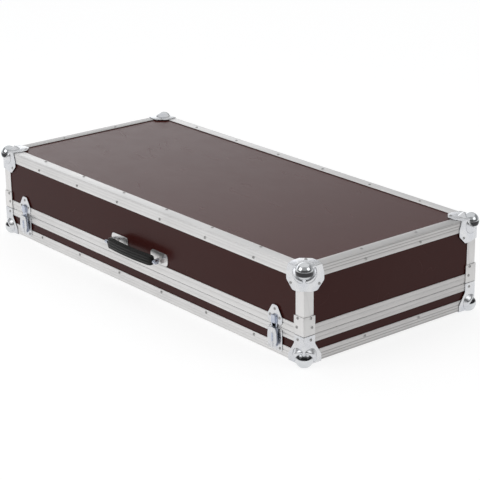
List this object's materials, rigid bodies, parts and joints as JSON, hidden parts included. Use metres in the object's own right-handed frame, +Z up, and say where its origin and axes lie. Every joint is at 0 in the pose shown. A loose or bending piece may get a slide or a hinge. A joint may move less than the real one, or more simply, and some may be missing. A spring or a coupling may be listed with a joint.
{
  "type": "keyboard case",
  "caption": "Flat rectangular case for a keyboard: faced plywood edged in aluminium, ball corners, a deep hinged lid, twist latches and a folding handle on the front.",
  "frame": {"origin": "centre of the whole object's footprint, on the surface that the base corners stand on", "axes": "+X along the length, -Y towards the front with the handle and latches, +Z up"},
  "size_m": [0.985, 0.47, 0.1935],
  "materials": {
    "faced_plywood": "smooth dark brown phenolic film",
    "aluminium": "satin, as extruded",
    "zinc_plate": "bright zinc on steel",
    "steel_pin": "bright, faintly blue",
    "grip_plastic": "moulded, ribbed along its length",
    "foam": "dark closed-cell foam"
  },
  "bodies": {
    "base": {"base_floor_panel": "faced_plywood", "base_front_panel": "faced_plywood", "base_back_panel": "faced_plywood", "base_left_panel": "faced_plywood", "base_right_panel": "faced_plywood", "base_edge_front": "aluminium", "base_edge_back": "aluminium", "base_edge_left": "aluminium", "base_edge_right": "aluminium", "base_rim_front": "aluminium", "base_rim_back": "aluminium", "base_rim_left": "aluminium", "base_rim_right": "aluminium", "base_corner_front_left": "zinc_plate", "base_corner_front_right": "zinc_plate", "base_corner_back_left": "zinc_plate", "base_corner_back_right": "zinc_plate", "base_foam": "foam", "latch_plate_left": "zinc_plate", "latch_plate_right": "zinc_plate", "hinge_base_leaf_left": "zinc_plate", "hinge_base_leaf_right": "zinc_plate"},
    "lid": {"lid_top_panel": "faced_plywood", "lid_front_panel": "faced_plywood", "lid_back_panel": "faced_plywood", "lid_left_panel": "faced_plywood", "lid_right_panel": "faced_plywood", "lid_edge_front": "aluminium", "lid_edge_back": "aluminium", "lid_edge_left": "aluminium", "lid_edge_right": "aluminium", "lid_rim_front": "aluminium", "lid_rim_back": "aluminium", "lid_rim_left": "aluminium", "lid_rim_right": "aluminium", "lid_post_front_left": "aluminium", "lid_post_front_right": "aluminium", "lid_post_back_left": "aluminium", "lid_post_back_right": "aluminium", "lid_corner_front_left": "zinc_plate", "lid_corner_front_right": "zinc_plate", "lid_corner_back_left": "zinc_plate", "lid_corner_back_right": "zinc_plate", "lid_foam": "foam", "latch_keeper_left": "zinc_plate", "latch_keeper_right": "zinc_plate", "hinge_lid_leaf_left": "zinc_plate", "hinge_lid_leaf_right": "zinc_plate", "handle_bracket_left": "zinc_plate", "handle_bracket_right": "zinc_plate"},
    "handle": {"handle_core": "steel_pin", "handle_grip": "grip_plastic"},
    "left_latch_hook": {"latch_hook_left": "zinc_plate"},
    "left_latch_rotor": {"latch_rotor_left": "steel_pin"},
    "left_latch_wing_left": {"latch_left_wing_left": "zinc_plate"},
    "left_latch_wing_right": {"latch_left_wing_right": "zinc_plate"},
    "right_latch_hook": {"latch_hook_right": "zinc_plate"},
    "right_latch_rotor": {"latch_rotor_right": "steel_pin"},
    "right_latch_wing_left": {"latch_right_wing_left": "zinc_plate"},
    "right_latch_wing_right": {"latch_right_wing_right": "zinc_plate"}
  },
  "joints": [
    {"name": "lid_hinge", "type": "hinge", "parent": "base", "child": "lid", "pos_m": [0, 0.2305, 0.0585], "axis": [-1, 0, 0], "range_deg": [0, 105]},
    {"name": "handle_swing", "type": "hinge", "parent": "lid", "child": "handle", "pos_m": [0, -0.215, 0.09], "axis": [-1, 0, 0], "range_deg": [-85, 85]},
    {"name": "left_latch_turn", "type": "hinge", "parent": "base", "child": "left_latch_rotor", "pos_m": [-0.4075, -0.2035, 0.038], "axis": [0, -1, 0], "range_deg": [0, 180]},
    {"name": "left_hook_slide", "type": "slide", "parent": "base", "child": "left_latch_hook", "axis": [0, 0, 1], "range_m": [0, 0.008]},
    {"name": "left_wing_left_fold", "type": "hinge", "parent": "left_latch_rotor", "child": "left_latch_wing_left", "pos_m": [-0.4075, -0.2111, 0.038], "axis": [0, 0, 1], "range_deg": [0, 75]},
    {"name": "left_wing_right_fold", "type": "hinge", "parent": "left_latch_rotor", "child": "left_latch_wing_right", "pos_m": [-0.4075, -0.2111, 0.038], "axis": [0, 0, -1], "range_deg": [0, 75]},
    {"name": "right_latch_turn", "type": "hinge", "parent": "base", "child": "right_latch_rotor", "pos_m": [0.4075, -0.2035, 0.038], "axis": [0, -1, 0], "range_deg": [0, 180]},
    {"name": "right_hook_slide", "type": "slide", "parent": "base", "child": "right_latch_hook", "axis": [0, 0, 1], "range_m": [0, 0.008]},
    {"name": "right_wing_left_fold", "type": "hinge", "parent": "right_latch_rotor", "child": "right_latch_wing_left", "pos_m": [0.4075, -0.2111, 0.038], "axis": [0, 0, 1], "range_deg": [0, 75]},
    {"name": "right_wing_right_fold", "type": "hinge", "parent": "right_latch_rotor", "child": "right_latch_wing_right", "pos_m": [0.4075, -0.2111, 0.038], "axis": [0, 0, -1], "range_deg": [0, 75]}
  ],
  "couplings": [
    {"joint": "left_hook_slide", "follows": "left_latch_turn", "m_per_rad": 0.0025},
    {"joint": "right_hook_slide", "follows": "right_latch_turn", "m_per_rad": 0.0025}
  ]
}
